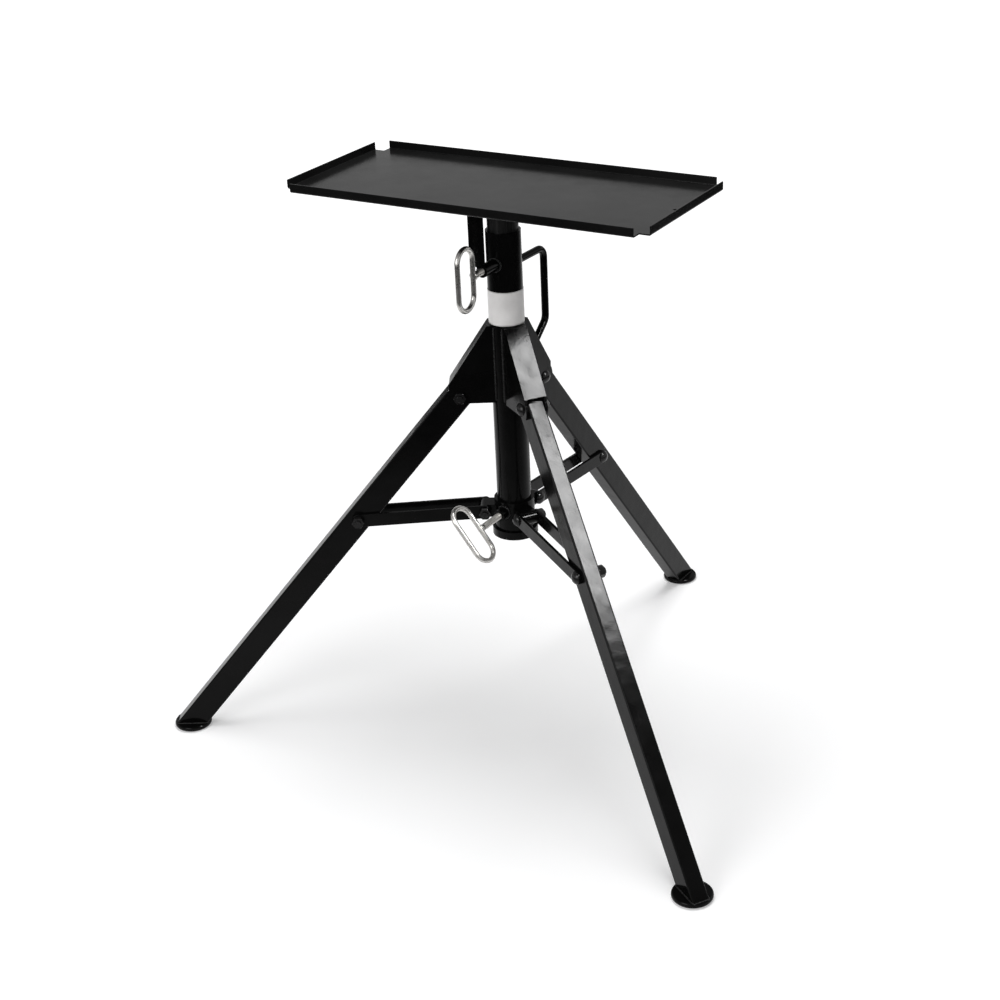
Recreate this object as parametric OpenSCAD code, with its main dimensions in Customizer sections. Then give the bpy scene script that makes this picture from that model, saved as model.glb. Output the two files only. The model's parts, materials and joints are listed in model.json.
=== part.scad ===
// Folding tripod stand with a height-adjustable post and a lipped tray for a pipe threading machine.
// X runs along the tray's long side, -Y is the front, Z is up and the floor is at z = 0.
// The post's axis stands at x = post_x, y = post_y, so that the origin lies under the middle of the feet.

/* [Column] */
// Outside diameter of the column tube
tube_d = 50.8; // [48:0.2:54]
// Wall of the column tube
tube_wall = 3; // [2:0.1:4]
// Length of the column tube
tube_long = 470; // [460:1:480]

/* [Post] */
// Radial running gap between the post and the column tube
post_gap = 0.1; // [0.05:0.01:0.1]
// Wall of the post
post_wall = 3; // [2:0.1:4]
// Length of post between the column and the mount socket, with the stand at its lowest
post_show = 26; // [24:1:40]
// Length of post inside the column, with the stand at its lowest
post_in = 390; // [374:1:399]

/* [Tray] */
// Height of the tray's underside with the stand at its lowest
tray_z = 850; // [765:1:935]
// Length of the tray
tray_long = 570; // [480:5:640]
// Depth of the tray
tray_deep = 254; // [220:2:300]
// Thickness of the tray's sheet
tray_sheet = 2; // [1.5:0.1:3]
// Height of the tray's lips above its underside
lip_h = 13.2; // [8:0.2:25]
// Side of the square cut out of each tray corner, where the lips end
corner_cut = 17; // [10:0.5:30]
// Diameter of the small hole near the tray's right end
tray_hole_d = 6; // [4:0.5:8]
// Distance from the tray's right end to that hole
tray_hole_in = 19; // [12:1:30]
// Length of the square mount plate under the tray
mount_plate_w = 120; // [90:2:150]
// Corner radius of the mount plate
mount_plate_r = 6; // [2:0.5:12]
// Thickness of the mount plate
mount_plate_t = 4; // [3:0.5:6]
// Wall of the mount socket that sits round the post
socket_wall = 4; // [3:0.25:4.25]
// Length of the mount socket
socket_h = 26; // [15:1:30]

/* [Side bar] */
// Width of the flat bar that hangs beside the column
bar_w = 22; // [16:0.5:28]
// Thickness of the flat bar
bar_t = 6; // [4:0.5:8]
// Distance from the column's upper end down to the flat bar's lower end
bar_drop = 58; // [49:1:69]
// Gap between the flat bar and the column tube
bar_gap = 1.6; // [1:0.1:3]

/* [Legs] */
// Radius of the circle that the feet's centres lie on
foot_circle_r = 524; // [500:2:560]
// Direction of the left leg, seen from above and counted from +X
left_azimuth = 209.5; // [206:0.5:214]
// Direction of the right leg
right_azimuth = 325.5; // [322:0.5:334]
// Direction of the back leg
back_azimuth = 87.5; // [84:0.5:94]
// Distance from the column's surface to the legs' pivots
pivot_out = 46.6; // [44:0.2:52]
// Distance from the column's upper end down to the legs' pivots
pivot_drop = 244; // [240:1:250]
// Depth of the leg's rectangular tube, across its pivot
leg_deep = 38.1; // [36:0.1:40]
// Width of the leg's rectangular tube, along its pivot
leg_wide = 25.4; // [22:0.1:30]
// Wall of the leg's tube
leg_wall = 2; // [1.5:0.1:3]
// Radius of the leg tube's edges
leg_edge_r = 2.6; // [1:0.1:4]
// Diameter of the foot discs
foot_d = 58; // [56.5:0.5:80]
// Thickness of the foot discs
foot_t = 9; // [6:0.5:14]
// Diameter of the shallow dish in the top of a foot
foot_dish_d = 54; // [54:0.5:55]
// Depth of that dish
foot_dish = 2; // [0.5:0.5:3]

/* [Brackets] */
// Thickness of the bracket plates
plate_t = 4; // [3:0.5:5]
// Gap between a bracket's side plate and its leg
side_gap = 0.35; // [0.3:0.05:0.6]
// Gap between the bracket's sloping web and the leg's round end
web_gap = 0.4; // [0.3:0.05:0.8]
// Slope of the web, from upright
web_slope = 33.8; // [31:0.2:36]
// Distance up the slope to the web's lower end from where its line is nearest to the pivot
web_lift = 8; // [4:0.5:12]
// Distance from the pivot down to the bracket's level lower edge
plate_drop = 10.5; // [8:0.5:14]
// Height of the bracket's level upper edge above the pivots
bracket_rise = 107; // [100:1:110]

/* [Bolts] */
// Diameter of the bolts' shanks
bolt_d = 9.6; // [8:0.1:10]
// Radial running gap of a bolt in its hole
bolt_gap = 0.06; // [0.02:0.01:0.1]
// Width across the flats of a nut
nut_af = 16; // [14:0.5:18]
// Thickness of a nut
nut_t = 8; // [6:0.5:9]
// Diameter of a bolt's domed head
head_d = 20; // [17:0.5:21]
// Height of a bolt's domed head
head_h = 6; // [4:0.5:7]
// Length of thread that stands out of a nut
thread_out = 2.5; // [1:0.5:4]

/* [Braces] */
// Distance along the leg from its pivot to the brace's bolt
brace_at = 253; // [245:1:260]
// Distance from the column's surface to the brace's inner pivot
lug_pivot_out = 18.6; // [17.6:0.2:20.6]
// Height of the brace's inner pivot above the column's lower end
lug_pivot_rise = 40; // [36:0.5:44]
// Width of a brace strap
strap_w = 20; // [16:0.5:22]
// Thickness of a brace strap
strap_t = 4.5; // [3:0.1:6]
// Gap between a strap and the leg or lug beside it
strap_gap = 0.35; // [0.3:0.05:0.6]

/* [Collar] */
// Wall of the sliding collar's sleeve
sleeve_wall = 4.5; // [3:0.1:5.5]
// How far the collar's lower flange stands out of its sleeve
flange_out = 4; // [2.5:0.5:7]
// Thickness of the lower flange
flange_t = 12; // [8:0.5:14]
// Length of the collar
collar_h = 58; // [54:1:64]
// Radial running gap between the collar and the column tube
collar_gap = 0.1; // [0.05:0.01:0.1]
// Thickness of the collar's lugs up and down, either side of their pivot
lug_half_h = 10; // [9:0.5:11]

/* [Clamps] */
// Direction of both clamp screws, seen from above and counted from +X
clamp_azimuth = 268; // [262:1:274]
// Distance from the column's upper end down to the upper clamp screw
upper_clamp_drop = 45; // [38:1:52]
// Height of the lower clamp screw above the collar's lower end
lower_clamp_rise = 43; // [38:1:46]
// Diameter of the clamp screws
screw_d = 10; // [8:0.2:12]
// Radial running gap of a clamp screw in its boss
screw_gap = 0.08; // [0.03:0.01:0.1]
// Outside diameter of the bosses
boss_d = 18; // [16:0.5:20]
// Distance from the column's surface to the upper boss's outer end
upper_boss_out = 32.6; // [25:0.5:36]
// Distance from the column's surface to the lower boss's outer end
lower_boss_out = 18.6; // [16:0.5:24]
// Distance from the column's surface to the middle of the upper loop handle's inner run
upper_loop_out = 54.6; // [50:0.5:64]
// Distance from the column's surface to the middle of the lower loop handle's inner run
lower_loop_out = 68.6; // [62:0.5:74]
// Diameter of the loop handle's rod
loop_rod_d = 7.6; // [6:0.1:9]
// Length of the loop handle, along the middle of its rod
loop_long = 88; // [76:1:92]
// Width of the loop handle, along the middle of its rod
loop_wide = 37; // [32:0.5:40]
// Angle of the lower loop handle from upright
lower_loop_lean = 39; // [-90:1:90]
// Distance that a clamp screw's tip stops short of what it presses on
tip_gap = 0.1; // [0.05:0.01:0.3]
// Diameter of the weld that joins a loop handle to its screw
loop_weld_d = 13; // [11:0.5:15]

/* [Carry handle] */
// Diameter of the carry handle's rod
handle_rod_d = 11; // [9:0.5:13]
// Distance from the column's surface to the handle's upright grip
grip_out = 78.1; // [70:0.5:85]
// Distance from the column's upper end down to the handle's upper arm
handle_top_drop = 56; // [49:1:64]
// Height above the pivots at which the grip turns in towards the bracket
handle_low_rise = 78; // [72:1:90]
// Fall of the lower arm, below level
lower_arm_fall = 39.5; // [34:0.5:45]
// Radius of the handle's upper bend
upper_bend_r = 15; // [12:1:20]
// Radius of the handle's lower bend
lower_bend_r = 16; // [12:1:22]

/* [Label] */
// Distance from the brackets' upper edges to the label's lower edge
label_rise = 1.5; // [0.5:0.5:6]
// Height of the label band
label_h = 50; // [40:1:56]
// Thickness of the label band
label_t = 0.3; // [0.2:0.05:0.4]
// Thickness of the glue line under the label band
label_gap = 0.1; // [0.05:0.05:0.2]

/* [Hidden] */

SMOOTH = 96;
ROD_SIDES = 20;
// How far a cutting shape runs past what it cuts
CUT = 1;
// How much wider than its flats the round that chamfers a nut starts out
NUT_ROUND = 1.04;
BEND_STEPS = 8;
BAR_AZIMUTH = 210;

POWDER_BLACK = [0.03, 0.03, 0.032];
TRAY_GREY = [0.1, 0.1, 0.105];
ZINC = [0.62, 0.62, 0.6];
DARK_STEEL = [0.12, 0.12, 0.12];
LABEL_WHITE = [0.88, 0.87, 0.84];

post_x = -foot_circle_r * (cos(left_azimuth) + cos(right_azimuth)) / 2;
post_y = -foot_circle_r * (sin(back_azimuth) + min(sin(left_azimuth), sin(right_azimuth))) / 2;
tube_r = tube_d / 2;
bore_r = tube_r - tube_wall;
tube_top_z = tray_z - mount_plate_t - socket_h - post_show;
tube_low_z = tube_top_z - tube_long;
post_r = bore_r - post_gap;
seat_gap = 0.3;
post_top_z = tray_z - mount_plate_t - seat_gap;
post_low_z = tube_top_z - post_in;
bar_low_z = tube_top_z - bar_drop;

pivot_r = tube_r + pivot_out;
pivot_z = tube_top_z - pivot_drop;
bracket_top_z = pivot_z + bracket_rise;
leg_half = leg_deep / 2;
leg_drop = pivot_z - foot_t + foot_dish;
leg_run = foot_circle_r - pivot_r;
leg_tilt = atan(leg_run / leg_drop);
leg_long = norm([leg_run, leg_drop]);

side_in = leg_wide / 2 + side_gap;
side_out = side_in + plate_t;
web_in = leg_half + web_gap;
web_out = web_in + plate_t;
web_end = [web_out * cos(web_slope) - web_lift * sin(web_slope),
           web_out * sin(web_slope) + web_lift * cos(web_slope)];
// Height above the pivot at which the web's outer face would reach the post's axis
web_apex = web_end[1] + (pivot_r + web_end[0]) / tan(web_slope);

lug_pivot_r = tube_r + lug_pivot_out;
lug_pivot_z = tube_low_z + lug_pivot_rise;
strap_in = leg_wide / 2 + strap_gap;
strap_out = strap_in + strap_t;
brace_bolt = [pivot_r + brace_at * sin(leg_tilt), pivot_z - brace_at * cos(leg_tilt)];
brace_run = brace_bolt[0] - lug_pivot_r;
brace_fall = lug_pivot_z - brace_bolt[1];
brace_long = norm([brace_run, brace_fall]);
brace_slope = atan(brace_fall / brace_run);

sleeve_bore_r = tube_r + collar_gap;
sleeve_r = sleeve_bore_r + sleeve_wall;

upper_clamp_z = tube_top_z - upper_clamp_drop;
lower_clamp_z = tube_low_z + lower_clamp_rise;
upper_loop_r = tube_r + upper_loop_out;
lower_loop_r = tube_r + lower_loop_out;

grip_r = tube_r + grip_out;
handle_top_z = tube_top_z - handle_top_drop;
handle_low_z = pivot_z + handle_low_rise;

// Stands what follows on the post's axis and turns it, so that its X points outwards
module out_from_post(azimuth) {
    translate([post_x, post_y, 0]) rotate([0, 0, azimuth]) children();
}

// Moves what follows to a leg's pivot, with -Z down along the leg and X square to its top face
module along_leg(azimuth) {
    out_from_post(azimuth) translate([pivot_r, 0, pivot_z]) rotate([0, -leg_tilt, 0]) children();
}

// Moves what follows to a brace's inner pivot, with X along the brace
module along_brace(azimuth) {
    out_from_post(azimuth) translate([lug_pivot_r, 0, lug_pivot_z]) rotate([0, brace_slope, 0]) children();
}

// Lays a cylinder along Y, from one side position to another
module cross_rod(r, from_y, to_y) {
    translate([0, to_y, 0]) rotate([90, 0, 0]) cylinder(r = r, h = to_y - from_y, $fn = SMOOTH);
}

module hex_nut(from_y, bore_r, hex_af = nut_af, t = nut_t) {
    translate([0, from_y + t, 0]) rotate([90, 0, 0]) difference() {
        intersection() {
            cylinder(d = hex_af / cos(30), h = t, $fn = 6);
            cylinder(d1 = hex_af * NUT_ROUND, d2 = hex_af * NUT_ROUND + t * 2, h = t, $fn = SMOOTH);
        }
        translate([0, 0, -CUT]) cylinder(r = bore_r, h = t + 2 * CUT, $fn = SMOOTH);
    }
}

// Domed head whose flat side is at y = 0 and whose crown points along -Y
module dome_head() {
    crown_r = (head_d * head_d / 4 + head_h * head_h) / (2 * head_h);
    rotate([90, 0, 0]) intersection() {
        cylinder(d = head_d, h = head_h, $fn = SMOOTH);
        translate([0, 0, head_h - crown_r]) sphere(r = crown_r, $fn = SMOOTH);
    }
}

module rounded_section(w, d, r) {
    square([w - 2 * r, d], center = true);
    square([w, d - 2 * r], center = true);
    for (sx = [-1, 1], sy = [-1, 1])
        translate([sx * (w / 2 - r), sy * (d / 2 - r)]) circle(r = r, $fn = 32);
}

module column_tube() {
    color(POWDER_BLACK) out_from_post(0) difference() {
        translate([0, 0, tube_low_z]) cylinder(r = tube_r, h = tube_long, $fn = SMOOTH);
        translate([0, 0, tube_low_z - CUT])
            cylinder(r = bore_r, h = tube_long + 2 * CUT, $fn = SMOOTH);
        rotate([0, 0, clamp_azimuth]) translate([0, 0, upper_clamp_z]) rotate([0, 90, 0])
            cylinder(r = screw_d / 2 + screw_gap, h = tube_d, $fn = SMOOTH);
    }
}

module label_band() {
    color(LABEL_WHITE) out_from_post(0) translate([0, 0, bracket_top_z + label_rise]) difference() {
        cylinder(r = tube_r + label_gap + label_t, h = label_h, $fn = SMOOTH);
        translate([0, 0, -CUT]) cylinder(r = tube_r + label_gap, h = label_h + 2 * CUT, $fn = SMOOTH);
    }
}

// Quarter or part bend of round rod in the XZ plane, turning by angle about its centre
module rod_bend(rod_d, bend_r, start, angle) {
    rotate([90, 0, 0]) rotate([0, 0, start]) rotate_extrude(angle = angle, $fn = SMOOTH)
        translate([bend_r, 0]) circle(d = rod_d, $fn = 32);
}

// Ring of points round a rod's middle line in the XZ plane, where the line runs at the given angle
function rod_ring(at, way, r) = [
    for (i = [0:ROD_SIDES - 1])
        let (turn = 360 * i / ROD_SIDES)
        [at[0] - r * cos(turn) * sin(way), r * sin(turn), at[1] + r * cos(turn) * cos(way)],
];

// Round rod whose rings follow [place, direction] pairs in the XZ plane
module bent_rod(stations, r) {
    last = len(stations) - 1;
    polyhedron(
        points = [for (s = stations) each rod_ring(s[0], s[1], r)],
        faces = [
            [for (i = [0:ROD_SIDES - 1]) i],
            for (k = [0:last - 1], i = [0:ROD_SIDES - 1])
                let (a = k * ROD_SIDES, j = (i + 1) % ROD_SIDES)
                [a + i, a + ROD_SIDES + i, a + ROD_SIDES + j, a + j],
            [for (i = [ROD_SIDES - 1:-1:0]) last * ROD_SIDES + i],
        ]
    );
}

// Stations round a bend about a centre, from one direction of travel to a lower one
function bend_stations(centre, bend_r, from_way, to_way) = [
    for (i = [0:BEND_STEPS])
        let (way = from_way + (to_way - from_way) * i / BEND_STEPS)
        [centre + bend_r * [-sin(way), cos(way)], way],
];

module carry_handle() {
    arm_way = -180 + lower_arm_fall;
    // Length that the lower bend takes off the straight run on either side of it
    lower_take = lower_bend_r * tan((90 - lower_arm_fall) / 2);
    arm_start = [grip_r - lower_take * cos(lower_arm_fall), handle_low_z - lower_take * sin(lower_arm_fall)];
    web_line = [pivot_r + web_end[0], pivot_z + web_end[1]];
    web_normal = [cos(web_slope), sin(web_slope)];
    arm_step = [cos(arm_way), sin(arm_way)];
    arm_long = ((web_line - arm_start) * web_normal) / (arm_step * web_normal) + handle_rod_d;
    color(POWDER_BLACK) out_from_post(back_azimuth) difference() {
        bent_rod([
            [[tube_r / 2, handle_top_z], 0],
            each bend_stations([grip_r - upper_bend_r, handle_top_z - upper_bend_r], upper_bend_r, 0, -90),
            each bend_stations([grip_r - lower_bend_r, handle_low_z + lower_take], lower_bend_r, -90,
                               arm_way),
            [arm_start + arm_long * arm_step, arm_way],
        ], handle_rod_d / 2);
        cylinder(r = tube_r, h = tube_top_z, $fn = SMOOTH);
        translate([web_line[0], 0, web_line[1]]) rotate([0, -web_slope, 0])
            translate([-tube_d, -tube_d, -tube_d]) cube([tube_d, 2 * tube_d, 4 * tube_d]);
    }
}

module clamp_boss(from_r, to_r, z, wall_r) {
    out_from_post(clamp_azimuth) difference() {
        translate([from_r, 0, z]) rotate([0, 90, 0]) cylinder(d = boss_d, h = to_r - from_r, $fn = SMOOTH);
        translate([0, 0, z]) rotate([0, 90, 0])
            cylinder(r = screw_d / 2 + screw_gap, h = to_r + CUT, $fn = SMOOTH);
        translate([0, 0, z - boss_d]) cylinder(r = wall_r, h = 2 * boss_d, $fn = SMOOTH);
    }
}

module upper_clamp_boss() {
    color(POWDER_BLACK) clamp_boss(tube_r / 2, tube_r + upper_boss_out, upper_clamp_z, tube_r);
}

module lower_clamp_boss() {
    color(POWDER_BLACK) clamp_boss(tube_r, tube_r + lower_boss_out, lower_clamp_z, sleeve_r);
}

// Outline of a bracket's side plate in the leg's upright plane, counted from the pivot
module side_plate_outline() {
    intersection() {
        union() {
            polygon([
                [-pivot_r, web_apex],
                web_end,
                [leg_half * cos(web_slope), -plate_drop],
                [-pivot_r, -plate_drop],
            ]);
            circle(r = leg_half, $fn = SMOOTH);
        }
        translate([-pivot_r, -plate_drop]) square([2 * pivot_r + leg_deep, web_apex + pivot_r]);
    }
}

module leg_bracket(azimuth) {
    color(POWDER_BLACK) out_from_post(azimuth) difference() {
        union() {
            for (side = [-side_out, side_in])
                translate([pivot_r, side + plate_t, pivot_z]) rotate([90, 0, 0])
                    linear_extrude(plate_t) side_plate_outline();
            translate([pivot_r, side_in, pivot_z]) rotate([90, 0, 0]) linear_extrude(2 * side_in)
                polygon([
                    [-pivot_r, web_apex],
                    web_end,
                    web_end - plate_t * [cos(web_slope), sin(web_slope)],
                    [-pivot_r, web_apex - plate_t / sin(web_slope)],
                ]);
        }
        translate([pivot_r, 0, pivot_z]) cross_rod(bolt_d / 2 + bolt_gap, -side_out - CUT, side_out + CUT);
        cylinder(r = tube_r, h = tube_top_z, $fn = SMOOTH);
        translate([0, -pivot_r, bracket_top_z]) cube([pivot_r, 2 * pivot_r, pivot_r]);
    }
}

module pivot_bolt(azimuth) {
    color(DARK_STEEL) out_from_post(azimuth) translate([pivot_r, 0, pivot_z]) {
        cross_rod(bolt_d / 2, -side_out, side_out + nut_t + thread_out);
        translate([0, -side_out, 0]) dome_head();
    }
}

module pivot_nut(azimuth) {
    color(DARK_STEEL) out_from_post(azimuth) translate([pivot_r, 0, pivot_z])
        hex_nut(side_out, bolt_d / 2 + bolt_gap);
}

module post() {
    color(DARK_STEEL) out_from_post(0) translate([0, 0, post_low_z]) difference() {
        cylinder(r = post_r, h = post_top_z - post_low_z, $fn = SMOOTH);
        translate([0, 0, -CUT])
            cylinder(r = post_r - post_wall, h = post_top_z - post_low_z + 2 * CUT, $fn = SMOOTH);
    }
}

module tray() {
    color(TRAY_GREY) translate([post_x, post_y, tray_z]) {
        difference() {
            translate([-tray_long / 2, -tray_deep / 2, 0]) cube([tray_long, tray_deep, tray_sheet]);
            for (sx = [-1, 1], sy = [-1, 1])
                translate([sx * tray_long / 2, sy * tray_deep / 2, 0])
                    cube([2 * corner_cut, 2 * corner_cut, 3 * tray_sheet], center = true);
            translate([tray_long / 2 - tray_hole_in, 0, -CUT])
                cylinder(d = tray_hole_d, h = tray_sheet + 2 * CUT, $fn = 48);
        }
        for (side = [-tray_deep / 2, tray_deep / 2 - tray_sheet])
            translate([corner_cut - tray_long / 2, side, 0])
                cube([tray_long - 2 * corner_cut, tray_sheet, lip_h]);
        for (end = [-tray_long / 2, tray_long / 2 - tray_sheet])
            translate([end, corner_cut - tray_deep / 2, 0])
                cube([tray_sheet, tray_deep - 2 * corner_cut, lip_h]);
    }
}

module tray_mount_plate() {
    color(POWDER_BLACK) translate([post_x, post_y, tray_z - mount_plate_t]) linear_extrude(mount_plate_t)
        rounded_section(mount_plate_w, mount_plate_w, mount_plate_r);
}

module post_socket() {
    color(POWDER_BLACK) out_from_post(0) translate([0, 0, tray_z - mount_plate_t - socket_h]) difference() {
        cylinder(r = bore_r + socket_wall, h = socket_h, $fn = SMOOTH);
        translate([0, 0, -CUT]) cylinder(r = bore_r, h = socket_h + 2 * CUT, $fn = SMOOTH);
    }
}

module side_bar() {
    bar_top_z = tray_z - mount_plate_t;
    color(POWDER_BLACK) out_from_post(BAR_AZIMUTH)
        translate([tube_r + bar_gap, bar_t / 2, bar_low_z]) rotate([90, 0, 0]) linear_extrude(bar_t) {
            intersection() {
                square([bar_w, bar_w]);
                translate([0, bar_w]) circle(r = bar_w, $fn = SMOOTH);
            }
            translate([0, bar_w]) square([bar_w, bar_top_z - bar_low_z - bar_w]);
        }
}

module leg(azimuth) {
    color(POWDER_BLACK) difference() {
        along_leg(azimuth) difference() {
            intersection() {
                translate([0, 0, -leg_long - leg_deep])
                    linear_extrude(leg_long + 2 * leg_deep) difference() {
                        rounded_section(leg_deep, leg_wide, leg_edge_r);
                        square([leg_deep - 2 * leg_wall, leg_wide - 2 * leg_wall], center = true);
                    }
                union() {
                    cross_rod(leg_half, -leg_wide, leg_wide);
                    translate([-leg_deep, -leg_wide, -leg_long - leg_deep])
                        cube([2 * leg_deep, 2 * leg_wide, leg_long + leg_deep]);
                }
            }
            cross_rod(bolt_d / 2 + bolt_gap, -leg_wide, leg_wide);
            translate([0, 0, -brace_at]) cross_rod(bolt_d / 2, -leg_wide, leg_wide);
        }
        translate([-foot_circle_r * 2, -foot_circle_r * 2, foot_t - foot_dish - leg_deep * 2])
            cube([foot_circle_r * 4, foot_circle_r * 4, leg_deep * 2]);
    }
}

module foot(azimuth) {
    rim_r = foot_t / 2;
    color(POWDER_BLACK) out_from_post(azimuth) translate([foot_circle_r, 0, 0]) difference() {
        rotate_extrude($fn = SMOOTH) {
            square([foot_d / 2 - rim_r, foot_t]);
            translate([foot_d / 2 - rim_r, rim_r]) intersection() {
                circle(r = rim_r, $fn = 48);
                translate([0, -rim_r]) square([rim_r, 2 * rim_r]);
            }
        }
        translate([0, 0, foot_t - foot_dish]) cylinder(d = foot_dish_d, h = foot_t, $fn = SMOOTH);
    }
}

// Shank that joins a leg's side walls, flush with them, where the brace straps lie against the leg
module brace_pin(azimuth) {
    color(DARK_STEEL) along_leg(azimuth) translate([0, 0, -brace_at])
        cross_rod(bolt_d / 2, -leg_wide / 2, leg_wide / 2);
}

module lug() {
    translate([0, -leg_wide / 2, lug_pivot_z - lug_half_h])
        cube([lug_pivot_r, leg_wide, 2 * lug_half_h]);
    translate([lug_pivot_r, 0, lug_pivot_z]) cross_rod(lug_half_h, -leg_wide / 2, leg_wide / 2);
}

module collar() {
    color(POWDER_BLACK) out_from_post(0) difference() {
        union() {
            translate([0, 0, tube_low_z]) cylinder(r = sleeve_r, h = collar_h, $fn = SMOOTH);
            translate([0, 0, tube_low_z]) cylinder(r = sleeve_r + flange_out, h = flange_t, $fn = SMOOTH);
            for (azimuth = [left_azimuth, right_azimuth, back_azimuth]) rotate([0, 0, azimuth]) lug();
        }
        translate([0, 0, tube_low_z - CUT])
            cylinder(r = sleeve_bore_r, h = collar_h + 2 * CUT, $fn = SMOOTH);
        rotate([0, 0, clamp_azimuth]) translate([0, 0, lower_clamp_z]) rotate([0, 90, 0])
            cylinder(r = screw_d / 2 + screw_gap, h = 2 * sleeve_r, $fn = SMOOTH);
        for (azimuth = [left_azimuth, right_azimuth, back_azimuth]) rotate([0, 0, azimuth])
            translate([lug_pivot_r, 0, lug_pivot_z]) cross_rod(bolt_d / 2, -leg_wide, leg_wide);
    }
}

module lug_bolt(azimuth) {
    color(DARK_STEEL) out_from_post(azimuth) translate([lug_pivot_r, 0, lug_pivot_z]) {
        cross_rod(bolt_d / 2, -strap_out - seat_gap, strap_out + seat_gap + nut_t + thread_out);
        translate([0, -strap_out - seat_gap, 0]) dome_head();
    }
}

module lug_nut(azimuth) {
    color(DARK_STEEL) out_from_post(azimuth) translate([lug_pivot_r, 0, lug_pivot_z])
        hex_nut(strap_out + seat_gap, bolt_d / 2);
}

module strap(from_y) {
    difference() {
        union() {
            for (end = [0, brace_long])
                translate([end, 0, 0]) cross_rod(strap_w / 2, from_y, from_y + strap_t);
            translate([0, from_y, -strap_w / 2]) cube([brace_long, strap_t, strap_w]);
        }
        cross_rod(bolt_d / 2 + bolt_gap, from_y - CUT, from_y + strap_t + CUT);
    }
}

module brace_near_strap(azimuth) {
    color(POWDER_BLACK) along_brace(azimuth) strap(-strap_out);
}

module brace_far_strap(azimuth) {
    color(POWDER_BLACK) along_brace(azimuth) strap(strap_in);
}

module brace_bolt_head(azimuth) {
    color(DARK_STEEL) along_brace(azimuth) translate([brace_long, -strap_out, 0]) dome_head();
}

module brace_nut(azimuth) {
    color(DARK_STEEL) along_brace(azimuth) translate([brace_long, 0, 0]) {
        hex_nut(strap_out, bolt_d / 2);
        cross_rod(bolt_d / 2, strap_out, strap_out + nut_t + thread_out);
    }
}

module clamp_screw(tip_r, loop_r, z) {
    out_from_post(clamp_azimuth) difference() {
        translate([tip_r + tip_gap, 0, z]) rotate([0, 90, 0])
            cylinder(d = screw_d, h = loop_r - loop_weld_d / 2 - tip_r - tip_gap, $fn = SMOOTH);
        // The tip is hollowed to the curve of what it presses on
        translate([0, 0, z - screw_d]) cylinder(r = tip_r + tip_gap, h = 2 * screw_d, $fn = SMOOTH);
    }
}

// Closed oval of rod, with its inner run across the screw's axis at loop_r
module loop_handle(loop_r, z, lean) {
    half_w = loop_wide / 2;
    straight = loop_long - loop_wide;
    out_from_post(clamp_azimuth) translate([loop_r, 0, z]) rotate([lean, 0, 0]) {
        for (run = [0, loop_wide]) translate([run, 0, -straight / 2])
            cylinder(d = loop_rod_d, h = straight, $fn = 32);
        translate([half_w, 0, straight / 2]) rod_bend(loop_rod_d, half_w, 0, 180);
        translate([half_w, 0, -straight / 2]) rod_bend(loop_rod_d, half_w, -180, 180);
        translate([-loop_weld_d / 2, 0, 0]) rotate([0, 90, 0])
            cylinder(d1 = screw_d, d2 = loop_weld_d, h = loop_weld_d / 2, $fn = 48);
    }
}

module upper_clamp_screw() {
    color(ZINC) clamp_screw(post_r, upper_loop_r, upper_clamp_z);
}

module upper_loop_handle() {
    color(ZINC) loop_handle(upper_loop_r, upper_clamp_z, 0);
}

module lower_clamp_screw() {
    color(ZINC) clamp_screw(tube_r, lower_loop_r, lower_clamp_z);
}

module lower_loop_handle() {
    color(ZINC) loop_handle(lower_loop_r, lower_clamp_z, lower_loop_lean);
}

column_tube();
label_band();
carry_handle();
upper_clamp_boss();
leg_bracket(left_azimuth);  // leg_bracket_left
leg_bracket(right_azimuth);  // leg_bracket_right
leg_bracket(back_azimuth);  // leg_bracket_back
pivot_bolt(left_azimuth);  // pivot_bolt_left
pivot_bolt(right_azimuth);  // pivot_bolt_right
pivot_bolt(back_azimuth);  // pivot_bolt_back
pivot_nut(left_azimuth);  // pivot_nut_left
pivot_nut(right_azimuth);  // pivot_nut_right
pivot_nut(back_azimuth);  // pivot_nut_back
post();
tray();
tray_mount_plate();
post_socket();
side_bar();
leg(left_azimuth);  // leg_left
leg(right_azimuth);  // leg_right
leg(back_azimuth);  // leg_back
foot(left_azimuth);  // foot_left
foot(right_azimuth);  // foot_right
foot(back_azimuth);  // foot_back
brace_pin(left_azimuth);  // brace_pin_left
brace_pin(right_azimuth);  // brace_pin_right
brace_pin(back_azimuth);  // brace_pin_back
collar();
lower_clamp_boss();
lug_bolt(left_azimuth);  // lug_bolt_left
lug_bolt(right_azimuth);  // lug_bolt_right
lug_bolt(back_azimuth);  // lug_bolt_back
lug_nut(left_azimuth);  // lug_nut_left
lug_nut(right_azimuth);  // lug_nut_right
lug_nut(back_azimuth);  // lug_nut_back
brace_near_strap(left_azimuth);  // brace_near_strap_left
brace_near_strap(right_azimuth);  // brace_near_strap_right
brace_near_strap(back_azimuth);  // brace_near_strap_back
brace_far_strap(left_azimuth);  // brace_far_strap_left
brace_far_strap(right_azimuth);  // brace_far_strap_right
brace_far_strap(back_azimuth);  // brace_far_strap_back
brace_bolt_head(left_azimuth);  // brace_bolt_head_left
brace_bolt_head(right_azimuth);  // brace_bolt_head_right
brace_bolt_head(back_azimuth);  // brace_bolt_head_back
brace_nut(left_azimuth);  // brace_nut_left
brace_nut(right_azimuth);  // brace_nut_right
brace_nut(back_azimuth);  // brace_nut_back
upper_clamp_screw();
upper_loop_handle();
lower_clamp_screw();
lower_loop_handle();
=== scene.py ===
"""Folding tripod stand with a lipped tray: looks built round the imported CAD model. All lengths are in metres."""
import json
import math
import random

import bmesh
import bpy
from mathutils import Matrix, Vector

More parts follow.
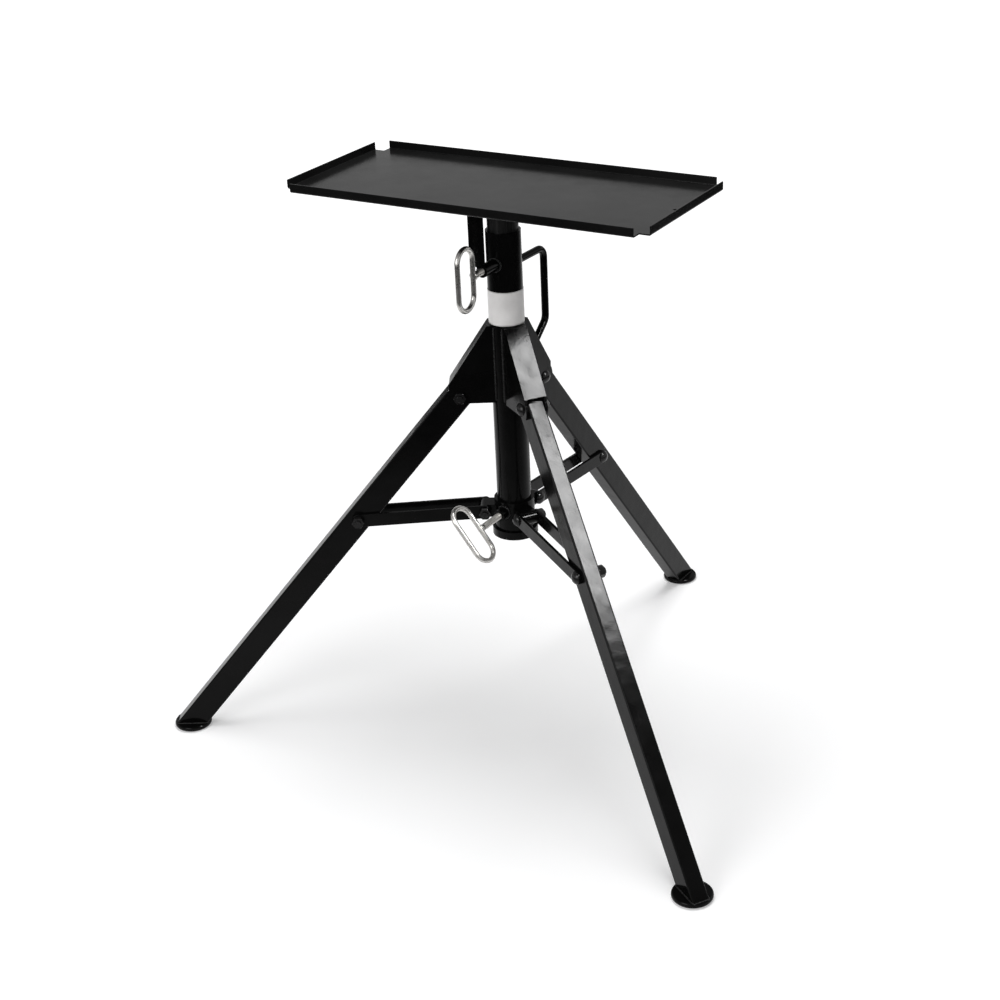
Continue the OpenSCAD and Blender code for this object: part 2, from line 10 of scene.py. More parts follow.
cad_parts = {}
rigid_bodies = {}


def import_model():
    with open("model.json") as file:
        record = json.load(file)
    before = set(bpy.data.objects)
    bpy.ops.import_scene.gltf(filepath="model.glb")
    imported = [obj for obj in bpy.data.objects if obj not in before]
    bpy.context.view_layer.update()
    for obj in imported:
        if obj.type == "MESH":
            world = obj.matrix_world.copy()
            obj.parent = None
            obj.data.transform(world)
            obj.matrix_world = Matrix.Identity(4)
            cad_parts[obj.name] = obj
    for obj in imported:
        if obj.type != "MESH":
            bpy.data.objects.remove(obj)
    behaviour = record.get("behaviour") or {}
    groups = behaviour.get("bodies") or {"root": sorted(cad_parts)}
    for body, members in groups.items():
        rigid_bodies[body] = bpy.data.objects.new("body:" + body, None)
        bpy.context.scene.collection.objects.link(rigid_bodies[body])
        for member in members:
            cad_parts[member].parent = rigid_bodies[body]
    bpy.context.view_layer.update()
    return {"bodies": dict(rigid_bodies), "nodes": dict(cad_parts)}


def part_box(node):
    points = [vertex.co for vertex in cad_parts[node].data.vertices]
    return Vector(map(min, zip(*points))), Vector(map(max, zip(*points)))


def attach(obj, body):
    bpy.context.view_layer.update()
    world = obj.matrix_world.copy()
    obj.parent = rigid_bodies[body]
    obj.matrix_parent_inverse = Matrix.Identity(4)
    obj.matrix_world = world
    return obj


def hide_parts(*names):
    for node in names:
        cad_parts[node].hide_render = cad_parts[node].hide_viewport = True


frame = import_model()
nodes = frame["nodes"]

# Sizes and places in the CAD model. Radii are from the post's axis where they place something, and azimuths are in
# degrees from X.
SIDES = {"left": 209.5, "right": 325.5, "back": 87.5}
POST_X, POST_Y = 0.0121121, -0.1133522
TUBE_R = 0.0254
COLLAR_R = TUBE_R + 0.0046
LEG_WIDE, LEG_DEEP = 0.0254, 0.0381
PIVOT_R, PIVOT_Z = 0.072, 0.550
FOOT_R, FOOT_RIM, FOOT_SEAT = 0.524, 0.029, 0.007
LEG_TILT = math.atan((FOOT_R - PIVOT_R) / (PIVOT_Z - FOOT_SEAT))
PLATE_T, PLATE_GAP = 0.004, 0.00035
PLATE_SIDE = LEG_WIDE / 2 + PLATE_GAP + PLATE_T
PLATE_LOW, BRACKET_TOP = PIVOT_Z - 0.0105, 0.657
WEB_SLOPE = math.radians(33.8)
WEB_END = Vector((0.087036, 0, 0.569693))
CLAMP_AZ = 268.0
CLAMP_Z = {"upper": 0.749, "lower": 0.367}
BOSS_R = 0.0093
SCREW_TIP = {"upper": 0.0225, "lower": 0.0256}
LOOP_R = {"upper": 0.080, "lower": 0.094}
LOOP_LEAN = {"upper": 0.0, "lower": 39.0}
TRAY_Z = 0.850

WELD_GAP = 0.0004
WHITE = (1, 1, 1, 1)


def place_camera():
    """Camera fitted to the photograph, with its angles in degrees and its focal length in pixels."""
    pan, pitch, roll, turn = (math.radians(a) for a in (-0.4954, 25.4205, -2.6817, 31.1360))
    place = (1.30231, -2.24911, 1.56157)
    focal_px, image_px, sensor_mm = 1850.803, 1000.0, 36.0
    ahead = Vector((math.sin(pan) * math.cos(pitch), math.cos(pan) * math.cos(pitch), -math.sin(pitch)))
    right = Vector((math.cos(pan), -math.sin(pan), 0.0))
    up = right.cross(ahead)
    tilted_right = math.cos(roll) * right + math.sin(roll) * up
    tilted_up = -math.sin(roll) * right + math.cos(roll) * up
    spin = Matrix.Rotation(turn, 3, "Z")
    axes = Matrix((spin @ tilted_right, spin @ tilted_up, spin @ -ahead)).transposed()
    data = bpy.data.cameras.new("camera")
    data.sensor_width = sensor_mm
    data.lens = sensor_mm * focal_px / image_px
    data.clip_start, data.clip_end = 0.05, 60.0
    cam = bpy.data.objects.new("camera", data)
    bpy.context.scene.collection.objects.link(cam)
    cam.matrix_world = Matrix.Translation(place) @ axes.to_4x4()
    bpy.context.scene.camera = cam


class NodeTree:
    """A small wrapper that adds nodes to a node tree and joins them."""

    def __init__(self, tree):
        self.tree = tree

    def feed(self, node, inputs):
        """Sets inputs of a node, each to a plain value or from a socket."""
        for key, value in inputs.items():
            if isinstance(value, bpy.types.NodeSocket):
                self.tree.links.new(value, node.inputs[key])
            else:
                node.inputs[key].default_value = value

    def add(self, kind, inputs=(), **settings):
        node = self.tree.nodes.new(kind)
        for key, value in settings.items():
            setattr(node, key, value)
        self.feed(node, dict(inputs))
        return node

    def math(self, operation, a, b):
        return self.add("ShaderNodeMath", {0: a, 1: b}, operation=operation).outputs[0]

    def height(self, coord):
        return self.add("ShaderNodeSeparateXYZ", {"Vector": coord}).outputs["Z"]

    def distance(self, coord, point):
        return self.add("ShaderNodeVectorMath", {0: coord, 1: point}, operation="DISTANCE").outputs["Value"]

    def span(self, fac, low, high, to_low, to_high, smooth=False):
        return self.add(
            "ShaderNodeMapRange",
            {"Value": fac, "From Min": low, "From Max": high, "To Min": to_low, "To Max": to_high},
            interpolation_type="SMOOTHSTEP" if smooth else "LINEAR",
        ).outputs["Result"]


class Shader(NodeTree):
    """A new material round its Principled shader."""

    def __init__(self, name):
        self.mat = bpy.data.materials.new(name)
        self.mat.use_nodes = True
        super().__init__(self.mat.node_tree)
        self.bsdf = self.tree.nodes["Principled BSDF"]
        self.coord = self.add("ShaderNodeTexCoord").outputs["Object"]

    def surface(self, inputs):
        """Feeds the Principled shader, and gives the material."""
        self.feed(self.bsdf, inputs)
        return self.mat

    def noise(self, scale, detail, stretch=None):
        vector = self.coord
        if stretch:
            vector = self.add("ShaderNodeMapping", {"Vector": vector, "Scale": stretch}).outputs["Vector"]
        return self.add(
            "ShaderNodeTexNoise", {"Vector": vector, "Scale": scale, "Detail": detail, "Roughness": 0.55}
        ).outputs["Fac"]

    def vary(self, noise, low, high):
        """A number from low to high over the usual range of a noise."""
        return self.span(noise, 0.3, 0.7, low, high)

    def ramp(self, fac, *stops):
        """Colour between two stops of (position, colour)."""
        node = self.add("ShaderNodeValToRGB", {"Fac": fac})
        for element, (at, colour) in zip(node.color_ramp.elements, stops):
            element.position = at
            element.color = (*colour, 1.0)
        return node.outputs["Color"]

    def mix(self, fac, a, b):
        """Mix of two colours, which are inputs 6 and 7 of this node and its output 2."""
        return self.add("ShaderNodeMix", {"Factor": fac, 6: a, 7: b}, data_type="RGBA").outputs[2]

    def bump(self, *layers):
        """Normal from stacked bumps of (height socket, strength, distance)."""
        normal = None
        for height, strength, distance in layers:
            inputs = {"Height": height, "Strength": strength, "Distance": distance}
            if normal is not None:
                inputs["Normal"] = normal
            normal = self.add("ShaderNodeBump", inputs).outputs["Normal"]
        return normal


def grey(v):
    return (v, v, v)


def powder(name, dark, light, rough, specular, peel, waves):
    """Powder coat: two near blacks in soft clouds, under a fine orange peel and a broad unevenness."""
    s = Shader(name)
    return s.surface({
        "Base Color": s.ramp(s.noise(9.0, 5.0), (0.35, grey(dark)), (0.7, grey(light))),
        "Roughness": s.vary(s.noise(38.0, 6.0), *rough),
        "Specular IOR Level": specular,
        "Normal": s.bump(
            (s.noise(520.0, 2.0), peel, 0.00012),
            (s.noise(60.0, 3.0), waves, 0.0004),
            (s.noise(16.0, 2.0), waves, 0.0022),
        ),
    })


def zinc(name, tint, rough):
    """Bright plated steel, with the faint clouding and fine marks of plating."""
    s = Shader(name)
    return s.surface({
        "Base Color": s.ramp(s.noise(30.0, 5.0), (0.3, tuple(0.86 * c for c in tint)), (0.7, tint)),
        "Metallic": 1.0,
        "Roughness": s.vary(s.noise(90.0, 6.0), *rough),
        "Normal": s.bump((s.noise(700.0, 2.0), 0.1, 0.00006), (s.noise(45.0, 3.0), 0.1, 0.0003)),
    })


def drawn_steel(name, dark, light):
    """Drawn steel tube, with fine scratches along its length."""
    s = Shader(name)
    lines = s.noise(60.0, 6.0, stretch=(14.0, 14.0, 0.25))
    return s.surface({
        "Base Color": s.ramp(lines, (0.3, grey(dark)), (0.75, grey(light))),
        "Metallic": 0.85,
        "Roughness": s.vary(lines, 0.28, 0.5),
        "Normal": s.bump((lines, 0.2, 0.0001)),
    })


def weld_paint(name):
    """Weld bead under the same paint, a little rougher than the sheet."""
    s = Shader(name)
    return s.surface({
        "Base Color": s.ramp(s.noise(120.0, 5.0), (0.3, grey(0.003)), (0.7, grey(0.009))),
        "Roughness": s.vary(s.noise(260.0, 5.0), 0.2, 0.38),
        "Specular IOR Level": 0.2,
        "Normal": s.bump((s.noise(480.0, 4.0), 0.4, 0.0003)),
    })


def label_film(name):
    """Plain pale film, with a faint mottle, dulled towards its upper and lower edges."""
    dulled, dull = 0.0022, (0.5, 0.49, 0.48, 1.0)
    s = Shader(name)
    film = s.ramp(s.noise(55.0, 5.0), (0.3, (0.80, 0.785, 0.775)), (0.7, (0.88, 0.865, 0.855)))
    low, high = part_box("label_band")
    z = s.height(s.coord)
    lower = s.span(z, low.z, low.z + dulled, 0.0, 1.0)
    upper = s.span(z, high.z, high.z - dulled, 0.0, 1.0)
    return s.surface({
        "Base Color": s.mix(s.math("MULTIPLY", lower, upper), dull, film),
        "Roughness": s.vary(s.noise(80.0, 4.0), 0.32, 0.45),
        "Specular IOR Level": 0.3,
        "Normal": s.bump((s.noise(300.0, 3.0), 0.1, 0.0001)),
    })


def out_from_post(azimuth):
    """Frame on the floor at the post's axis, with X out at an azimuth."""
    return Matrix.Translation((POST_X, POST_Y, 0)) @ Matrix.Rotation(math.radians(azimuth), 4, "Z")


def loop_place(which):
    """Local frame of a loop handle: its middle on the screw's axis, X outwards, Z along its length."""
    turn = Matrix.Rotation(math.radians(LOOP_LEAN[which]), 4, "X")
    return out_from_post(CLAMP_AZ) @ Matrix.Translation((LOOP_R[which], 0, CLAMP_Z[which])) @ turn


def new_piece(name, bm, material, body, matrix):
    """Makes a piece of the mesh, moved by the matrix, that rides on a body."""
    bmesh.ops.transform(bm, matrix=matrix, verts=bm.verts)
    bmesh.ops.recalc_face_normals(bm, faces=bm.faces)
    mesh = bpy.data.meshes.new(name)
    bm.to_mesh(mesh)
    bm.free()
    for polygon in mesh.polygons:
        polygon.use_smooth = True
    obj = bpy.data.objects.new(name, mesh)
    bpy.context.scene.collection.objects.link(obj)
    mesh.materials.append(material)
    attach(obj, body)
    return obj


def round_edges(obj, width, segments, angle=35.0):
    """Bevels the edges that are sharper than the angle, and shades flat faces evenly."""
    bevel = obj.modifiers.new("edges", "BEVEL")
    bevel.width = width
    bevel.segments = segments
    bevel.limit_method = "ANGLE"
    bevel.angle_limit = math.radians(angle)
    even = obj.modifiers.new("shading", "WEIGHTED_NORMAL")
    even.mode = "FACE_AREA"
    even.weight = 60
    even.keep_sharp = False


def dress(node, material, edge=0.0, segments=2):
    """Gives a CAD node its material. With an edge, whole flat faces take the place of triangles, and their edges
    are rounded."""
    obj = nodes[node]
    obj.data.materials.clear()
    obj.data.materials.append(material)
    if edge:
        weld = obj.modifiers.new("join", "WELD")
        weld.merge_threshold = 2e-6
        flats = obj.modifiers.new("flats", "DECIMATE")
        flats.decimate_type = "DISSOLVE"
        flats.angle_limit = math.radians(0.4)
        round_edges(obj, edge, segments)


def round_angles(count):
    """Evenly spaced angles of a full turn."""
    return [2 * math.pi * k / count for k in range(count)]


def arc(centre, radius, start, end, count):
    """Points round an arc in the XZ plane, by angles in degrees from X."""
    return [
        Vector(centre) + radius * Vector((math.cos(a), 0, math.sin(a)))
        for a in (math.radians(start + (end - start) * i / count) for i in range(count + 1))
    ]


def saddle(tube_r, rod_r):
    """Ring where a rod along X enters an upright tube round the Z axis."""
    ring = []
    for a in round_angles(48):
        y = rod_r * math.sin(a)
        ring.append(Vector((math.sqrt(tube_r ** 2 - y ** 2), y, rod_r * math.cos(a))))
    return ring


def resample(points, step, closed=False):
    """Points a fixed step apart along a polyline."""
    pts = [Vector(p) for p in points]
    if closed:
        pts.append(pts[0])
    lengths = [0.0]
    for a, b in zip(pts, pts[1:]):
        lengths.append(lengths[-1] + (b - a).length)
    total = lengths[-1]
    count = max(3, int(round(total / step)))
    out = []
    j = 0
    for i in range(count if closed else count + 1):
        at = total * i / count
        while j < len(pts) - 2 and lengths[j + 1] < at:
            j += 1
        share = (at - lengths[j]) / max(lengths[j + 1] - lengths[j], 1e-12)
        out.append(pts[j].lerp(pts[j + 1], share))
    return out


def skin(bm, rings, closed=False):
    """Joins rings of vertices into a tube, and caps its ends unless it is closed."""
    count = len(rings)
    for i in range(count if closed else count - 1):
        a, b = rings[i], rings[(i + 1) % count]
        for k in range(len(a)):
            n = (k + 1) % len(a)
            bm.faces.new((a[k], a[n], b[n], b[k]))
    if not closed:
        bm.faces.new(rings[0])
        bm.faces.new(list(reversed(rings[-1])))


def sweep(bm, points, radius, sides, closed=False):
    """Tube along points, with one radius or a list of them."""
    count = len(points)
    rings = []
    up = None
    for i, p in enumerate(points):
        before = points[i - 1] if (i or closed) else p
        after = points[(i + 1) % count] if (i < count - 1 or closed) else p
        along = (after - before).normalized()
        if up is None:
            up = Vector((0, 0, 1)) if abs(along.z) < 0.9 else Vector((0, 1, 0))
        side = along.cross(up).normalized()
        up = side.cross(along).normalized()
        r = radius[i] if isinstance(radius, list) else radius
        rings.append([
            bm.verts.new(p + r * (math.cos(a) * side + math.sin(a) * up)) for a in round_angles(sides)
        ])
    skin(bm, rings, closed)


def turned(bm, profile):
    """Turns (distance along X, radius) pairs about the X axis, closed at both ends."""
    skin(bm, [
        [bm.verts.new((x, r * math.cos(a), r * math.sin(a))) for a in round_angles(64)] for x, r in profile
    ])


def bead(name, points, radius, body, seed, closed, matrix, ripple=0.0022):
    """Weld bead: a low rippled tube along a seam, with tapered ends if the seam is open."""
    valley, swell, jitter, taper, tip = 0.84, 0.16, 0.05, 1.6, 0.35
    rng = random.Random(seed)
    step = ripple / 5
    line = resample(points, step, closed)
    phase = rng.random()
    wide = []
    for i in range(len(line)):
        wave = 0.5 + 0.5 * math.cos(2 * math.pi * (i * step / ripple + phase))
        r = radius * (valley + swell * wave + jitter * rng.uniform(-1, 1))
        if not closed:
            end = min(i, len(line) - 1 - i) * step / (radius * taper)
            r *= min(1.0, tip + (1.0 - tip) * end)
        wide.append(r)
    bm = bmesh.new()
    sweep(bm, line, wide, 10, closed)
    new_piece(name, bm, WELD, body, matrix)


def threaded_screw(which):
    """Clamp screw with a helical thread, from its chamfered tip to the weld neck of its loop handle."""
    crest, depth, pitch, sides, steps = 0.00498, 0.00088, 0.00175, 40, 7
    neck, run_out, chamfer_long, chamfer_deep = 0.0062, 0.004, 0.0016, 0.0012
    start, end = SCREW_TIP[which], LOOP_R[which] - neck
    count = int((end - start) / pitch * steps)
    bm = bmesh.new()
    rings = []
    for i in range(count + 1):
        x = start + (end - start) * i / count
        whole = min(1.0, (x - start) / chamfer_long)
        cut = min(1.0, (end - x) / run_out)
        ring = []
        for k, a in enumerate(round_angles(sides)):
            share = (x / pitch - k / sides) % 1.0
            # From 0 at the root of the thread to 1 along its flat crest
            tooth = min(1.0, max(0.0, 1.25 - 2.5 * abs(share - 0.5)))
            r = crest - depth * (1.0 - tooth) * cut - (1.0 - whole) * chamfer_deep
            ring.append(bm.verts.new((x, r * math.cos(a), r * math.sin(a))))
        rings.append(ring)
    skin(bm, rings)
    place = out_from_post(CLAMP_AZ) @ Matrix.Translation((0, 0, CLAMP_Z[which]))
    node = f"{which}_clamp_screw"
    screw = new_piece(f"{which}_screw_thread", bm, THREAD, node, place)
    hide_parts(node)


def loop_handle(which):
    """Closed oval of bright rod, with the neck that joins it to the screw."""
    rod_r, half_wide, straight, step = 0.0038, 0.0185, 0.0255, 0.0016
    neck = [(-0.0068, 0.0047), (-0.0064, 0.0051), (-0.0058, 0.0052), (-0.0046, 0.0055), (-0.0036, 0.0060),
            (-0.0026, 0.0064), (-0.0016, 0.0065), (-0.0006, 0.0062), (0.0002, 0.0054)]
    top = arc((half_wide, 0, straight), half_wide, 180, 0, 28)
    low = arc((half_wide, 0, -straight), half_wide, 0, -180, 28)
    bm = bmesh.new()
    sweep(bm, resample(top + low, step, closed=True), rod_r, 28, closed=True)
    turned(bm, neck)
    node = f"{which}_loop_handle"
    loop = new_piece(f"{which}_loop", bm, CHROME, node, loop_place(which))
    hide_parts(node)


def boss_weld(which, body, tube_r):
    """Bead where a clamp's boss stands on its tube."""
    place = out_from_post(CLAMP_AZ) @ Matrix.Translation((WELD_GAP, 0, CLAMP_Z[which]))
    bead(f"{which}_boss_weld", saddle(tube_r, BOSS_R), 0.0020, body, 300, True, place)


def carry_handle():
    """Bent rod from the column down to the web of the back bracket, with the welds at both ends."""
    rod_r, top_z, grip_r, low_z, fall = 0.0055, 0.738, 0.1035, 0.628, math.radians(39.5)
    upper_r, lower_r, step = 0.015, 0.016, 0.0022
    weld_r, into_tube, into_web = 0.0019, 0.0018, 0.0025
    take = lower_r * math.tan((math.pi / 2 - fall) / 2)
    arm = Vector((-math.cos(fall), 0, -math.sin(fall)))
    normal = Vector((math.cos(WEB_SLOPE), 0, math.sin(WEB_SLOPE)))
    corner = Vector((grip_r, 0, low_z))
    hit = corner + arm * ((WEB_END - corner).dot(normal) / arm.dot(normal))
    line = [Vector((TUBE_R - into_tube, 0, top_z))]
    line += arc((grip_r - upper_r, 0, top_z - upper_r), upper_r, 90, 0, 16)
    line += arc((grip_r - lower_r, 0, low_z + take), lower_r, 0, math.degrees(fall) - 90, 12)
    line.append(hit + arm * into_web)
    bm = bmesh.new()
    sweep(bm, resample(line, step), rod_r, 28)
    place = out_from_post(SIDES["back"])
    rod = new_piece("carry_rod", bm, GLOSS, "column", place)
    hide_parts("carry_handle")
    ring_r = rod_r + WELD_GAP
    top_ring = [p + Vector((WELD_GAP, 0, top_z)) for p in saddle(TUBE_R, ring_r)]
    bead("carry_weld_top", top_ring, weld_r, "column", 11, True, place)
    across = Vector((0, 1, 0))
    along = normal.cross(across)
    low_ring = [hit + ring_r * (math.cos(a) * across + math.sin(a) * along) for a in round_angles(40)]
    bead("carry_weld_low", low_ring, weld_r, "column", 12, True, place)


def folded_tray():
    """One folded sheet: base with notched corners and a small hole, and four lips on rounded bends."""
    half_l, half_d, lip_h, sheet, bend = 0.285, 0.127, 0.0132, 0.002, 0.0032
    notch, hole_x, hole_r, cell = 0.017, half_l - 0.019, 0.003, 0.008
    rim_steps, bend_steps = 8, 6
    xs = [-half_l, -half_l + bend, -half_l + notch, hole_x - cell, half_l - notch, half_l - bend, half_l]
    ys = [-half_d, -half_d + bend, -half_d + notch, -cell]
    ys += [-y for y in reversed(ys)]
    bm = bmesh.new()
    made = {}

    def vert(x, y, z=0.0):
        key = (round(x, 6), round(y, 6), round(z, 6))
        if key not in made:
            made[key] = bm.verts.new(key)
        return made[key]

    # Flat base in cells, without the notches, the strips that bend up and the cell round the hole
    for x0, x1 in zip(xs, xs[1:]):
        for y0, y1 in zip(ys, ys[1:]):
            cx, cy = abs(x0 + x1) / 2, abs(y0 + y1) / 2
            in_notch = cx > half_l - notch and cy > half_d - notch
            in_long_bend = cy > half_d - bend and cx < half_l - notch
            in_short_bend = cx > half_l - bend and cy < half_d - notch
            in_hole_cell = xs[3] <= x0 < xs[5] and y0 == -cell
            if in_notch or in_long_bend or in_short_bend or in_hole_cell:
                continue
            bm.faces.new((vert(x0, y0), vert(x0, y1), vert(x1, y1), vert(x1, y0)))

    # The hole's cell in four faces, each from an edge of the cell to a quarter of the hole's rim
    edges = [[(xs[k], cell) for k in (5, 4, 3)], [(xs[3], cell), (xs[3], -cell)],
             [(xs[k], -cell) for k in (3, 4, 5)], [(xs[5], -cell), (xs[5], cell)]]
    for quarter, edge in enumerate(edges):
        rim = [
            (hole_x + hole_r * math.cos(a), hole_r * math.sin(a))
            for a in (math.radians(45 + 90 * quarter + 90 * i / rim_steps) for i in range(rim_steps + 1))
        ]
        bm.faces.new([vert(*p) for p in rim] + [vert(*p) for p in reversed(edge)])

    # The lips, along a profile of (distance outwards, height) round the bend and straight up
    profile = [
        (bend * math.sin(a), bend * (1 - math.cos(a)))
        for a in (math.pi / 2 * i / bend_steps for i in range(bend_steps + 1))
    ] + [(bend, lip_h)]
    rises = list(zip(profile, profile[1:]))
    for sign in (-1, 1):
        for x0, x1 in zip(xs, xs[1:]):
            if abs(x0 + x1) / 2 < half_l - notch:
                for (u0, z0), (u1, z1) in rises:
                    v0, v1 = sign * (half_d - bend + u0), sign * (half_d - bend + u1)
                    bm.faces.new((vert(x0, v0, z0), vert(x0, v1, z1), vert(x1, v1, z1), vert(x1, v0, z0)))
        for y0, y1 in zip(ys, ys[1:]):
            if abs(y0 + y1) / 2 < half_d - notch:
                for (u0, z0), (u1, z1) in rises:
                    v0, v1 = sign * (half_l - bend + u0), sign * (half_l - bend + u1)
                    bm.faces.new((vert(v0, y0, z0), vert(v1, y0, z1), vert(v1, y1, z1), vert(v0, y1, z0)))

    place = Matrix.Translation((POST_X, POST_Y, TRAY_Z))
    tray = new_piece("tray_sheet", bm, TRAY, "tray", place)
    middle = max(tray.data.polygons, key=lambda polygon: polygon.area)
    thick = tray.modifiers.new("sheet", "SOLIDIFY")
    thick.thickness = sheet
    thick.offset = 1.0 if middle.normal.z > 0 else -1.0
    thick.use_even_offset = True
    round_edges(tray, 0.0004, 2, angle=40.0)
    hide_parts("tray")


def bracket_welds(side, azimuth, seed):
    """Beads where a bracket's two plates and the top of its web meet the column."""
    plate_weld_r, top_weld_r, out, sunk = 0.0021, 0.0017, 0.0003, 0.0006
    low_z, high_z = PLATE_LOW + 0.003, BRACKET_TOP - 0.002
    place = out_from_post(azimuth)
    seam_x = math.sqrt(TUBE_R ** 2 - PLATE_SIDE ** 2) + out
    for sign, way in ((-1, "near"), (1, "far")):
        line = [Vector((seam_x, sign * PLATE_SIDE, z)) for z in (low_z, high_z)]
        bead(f"bracket_weld_{way}_{side}", line, plate_weld_r, "column", seed + sign, False, place)
    reach = math.asin(PLATE_SIDE / TUBE_R) * 0.92
    rim = [
        Vector((TUBE_R * math.cos(a), TUBE_R * math.sin(a), BRACKET_TOP - sunk))
        for a in (reach * (i / 12 - 1) for i in range(25))
    ]
    bead(f"bracket_weld_top_{side}", rim, top_weld_r, "column", seed + 5, False, place)


def foot_weld(side, azimuth, seed):
    """Bead where a leg's slanting end stands in its foot."""
    weld_r, corner, steps = 0.0016, 0.003, 4
    half_l, half_w = LEG_DEEP / 2 / math.cos(LEG_TILT), LEG_WIDE / 2
    line = []
    for sx, sy, start in ((1, 1, 0), (-1, 1, 90), (-1, -1, 180), (1, -1, 270)):
        for i in range(steps + 1):
            a = math.radians(start + 90 * i / steps)
            line.append(Vector((
                FOOT_R + sx * (half_l - corner) + corner * math.cos(a),
                sy * (half_w - corner) + corner * math.sin(a),
                FOOT_SEAT,
            )))
    bead(f"foot_weld_{side}", line, weld_r, f"leg_{side}", seed, True, out_from_post(azimuth), ripple=0.002)


def surroundings():
    """Even dim light, but white to the camera, and in reflections white at the horizon and dimmer overhead."""
    even, overhead, horizon_z, overhead_z = 0.3, 0.3, 0.05, 0.5
    world = bpy.data.worlds.new("studio")
    bpy.context.scene.world = world
    world.use_nodes = True
    w = NodeTree(world.node_tree)
    ray = w.add("ShaderNodeLightPath").outputs
    z = w.height(w.add("ShaderNodeTexCoord").outputs["Generated"])
    mirrored = w.math("MAXIMUM", ray["Is Glossy Ray"], ray["Is Transmission Ray"])
    reflected = w.span(z, horizon_z, overhead_z, 1.0, overhead, smooth=True)
    strength = w.math("MAXIMUM", w.span(mirrored, 0.0, 1.0, even, reflected), ray["Is Camera Ray"])
    w.feed(w.tree.nodes["Background"], {"Color": WHITE, "Strength": strength})


def floor_paint(name):
    """Pale floor that takes the shadow. To the camera it glows towards white with distance, and so it does to
    reflections near the mirror's centre. To reflections further off it is dim."""
    mirror_centre, mirror_near, mirror_far, dim_level = (-0.6, 0.9, 0), 1.3, 2.7, 0.03
    glow_near, glow_far, glow_low, glow_high = 0.3, 3.6, 0.30, 0.90
    s = Shader(name)
    s.surface({"Base Color": (0.78, 0.78, 0.785, 1), "Roughness": 0.9, "Specular IOR Level": 0.0})
    ray = s.add("ShaderNodeLightPath").outputs
    near = s.span(s.distance(s.coord, mirror_centre), mirror_near, mirror_far, 1.0, 0.0, smooth=True)
    mirrored = s.math("MULTIPLY", ray["Is Glossy Ray"], near)
    shown = s.math("MAXIMUM", ray["Is Camera Ray"], ray["Is Transmission Ray"])
    level = s.span(s.distance(s.coord, (0, 0, 0)), glow_near, glow_far, glow_low, glow_high, smooth=True)
    strength = s.math("MULTIPLY", s.math("MAXIMUM", shown, mirrored), level)
    glow = s.add("ShaderNodeEmission", {"Color": WHITE, "Strength": strength})
    both = s.add("ShaderNodeAddShader", {0: s.bsdf.outputs[0], 1: glow.outputs[0]})
    dim = s.add("ShaderNodeEmission", {"Color": WHITE, "Strength": dim_level})
    far = s.math("MULTIPLY", ray["Is Glossy Ray"], s.math("SUBTRACT", 1.0, near))
    final = s.add("ShaderNodeMixShader", {"Fac": far, 1: both.outputs[0], 2: dim.outputs[0]})
    s.feed(s.tree.nodes["Material Output"], {"Surface": final.outputs[0]})
    return s.mat


def lay_floor():
    """Round floor that stays under the outer rim of a foot, because a leg that folds reaches lower."""
    clear = 0.0004
    bm = bmesh.new()
    bmesh.ops.create_circle(bm, cap_ends=True, radius=24.0, segments=64)
    mesh = bpy.data.meshes.new("floor")
    bm.to_mesh(mesh)
    bm.free()
    mesh.materials.append(floor_paint("pale_floor"))
    floor = bpy.data.objects.new("floor", mesh)
    floor.location = (0, 0, -clear)
    rim = bpy.data.objects.new("foot_rim", None)
    for obj in (floor, rim):
        bpy.context.scene.collection.objects.link(obj)
    rim.parent = frame["bodies"]["leg_right"]
    rim.location = out_from_post(SIDES["right"]) @ Vector((FOOT_R + FOOT_RIM, 0, 0))
    follow = floor.constraints.new("COPY_LOCATION")
    follow.target = rim
    follow.use_x = follow.use_y = False
    follow.use_offset = True


def softbox(name, azimuth, elevation, distance, wide, tall, watts, target, shine_only=False):
    """Rectangular lamp aimed at its target. With shine_only it shows in reflections but gives no diffuse light."""
    a, e = math.radians(azimuth), math.radians(elevation)
    way = Vector((math.cos(a) * math.cos(e), math.sin(a) * math.cos(e), math.sin(e)))
    data = bpy.data.lights.new(name, "AREA")
    data.shape = "RECTANGLE"
    data.size, data.size_y = wide, tall
    data.energy = watts
    lamp = bpy.data.objects.new(name, data)
    bpy.context.scene.collection.objects.link(lamp)
    lamp.location = Vector(target) + way * distance
    lamp.rotation_mode = "QUATERNION"
    lamp.rotation_quaternion = way.to_track_quat("Z", "Y")
    lamp.visible_diffuse = not shine_only


bpy.context.scene.view_settings.view_transform = "Standard"
place_camera()

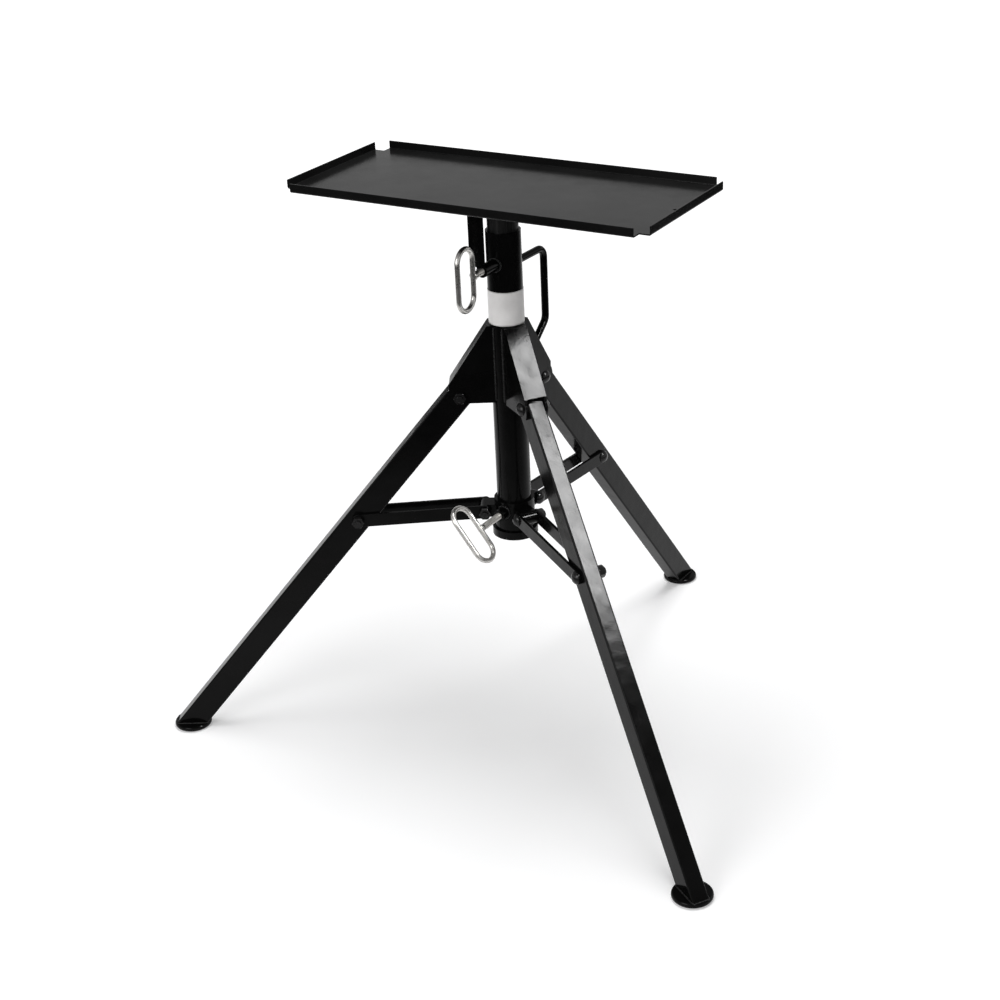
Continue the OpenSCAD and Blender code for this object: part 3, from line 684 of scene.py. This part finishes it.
GLOSS = powder("gloss_black_powder", 0.0018, 0.0042, rough=(0.11, 0.17), specular=0.09, peel=0.25, waves=0.3)
TRAY = powder("satin_tray_powder", 0.005, 0.009, rough=(0.17, 0.23), specular=0.085, peel=0.3, waves=0.1)
BOLT = powder("painted_bolt", 0.004, 0.012, rough=(0.16, 0.3), specular=0.3, peel=0.4, waves=0.3)
WELD = weld_paint("painted_weld")
CHROME = zinc("bright_zinc", (0.67, 0.657, 0.632), rough=(0.24, 0.34))
THREAD = zinc("zinc_thread", (0.62, 0.6, 0.57), rough=(0.25, 0.4))
POST = drawn_steel("drawn_post_steel", 0.008, 0.03)
LABEL = label_film("blank_label_film")

for name in ("column_tube", "tray_mount_plate", "post_socket", "side_bar", "collar",
             "upper_clamp_boss", "lower_clamp_boss"):
    dress(name, GLOSS, edge=0.0006)
dress("post", POST, edge=0.0005)
dress("label_band", LABEL)
for name in ("carry_handle", "upper_loop_handle", "lower_loop_handle", "upper_clamp_screw", "lower_clamp_screw"):
    dress(name, GLOSS)
dress("tray", TRAY)
for index, (side, azimuth) in enumerate(SIDES.items()):
    dress(f"leg_bracket_{side}", GLOSS, edge=0.0011, segments=3)
    dress(f"leg_{side}", GLOSS, edge=0.0004)
    dress(f"foot_{side}", GLOSS, edge=0.0006)
    dress(f"brace_near_strap_{side}", GLOSS, edge=0.0007, segments=3)
    dress(f"brace_far_strap_{side}", GLOSS, edge=0.0007, segments=3)
    for name in ("pivot_bolt", "pivot_nut", "lug_bolt", "lug_nut", "brace_pin", "brace_bolt_head", "brace_nut"):
        dress(f"{name}_{side}", BOLT, edge=0.0005)
    bracket_welds(side, azimuth, seed=100 + 10 * index)
    foot_weld(side, azimuth, seed=200 + index)

for which, body, tube_r in (("upper", "column", TUBE_R), ("lower", "collar", COLLAR_R)):
    threaded_screw(which)
    loop_handle(which)
    boss_weld(which, body, tube_r)
carry_handle()
folded_tray()

surroundings()
lay_floor()
softbox("key", azimuth=359, elevation=45.6, distance=3.0, wide=0.30, tall=0.76, watts=58,
        target=(POST_X + 0.1, POST_Y - 0.08, 0.465), shine_only=True)
softbox("front_fill", azimuth=262, elevation=24, distance=3.0, wide=1.4, tall=1.2, watts=30,
        target=(POST_X, POST_Y, 0.45))
softbox("top", azimuth=90, elevation=86, distance=2.4, wide=1.2, tall=1.2, watts=52,
        target=(POST_X, POST_Y, 0.4))

bpy.context.view_layer.update()
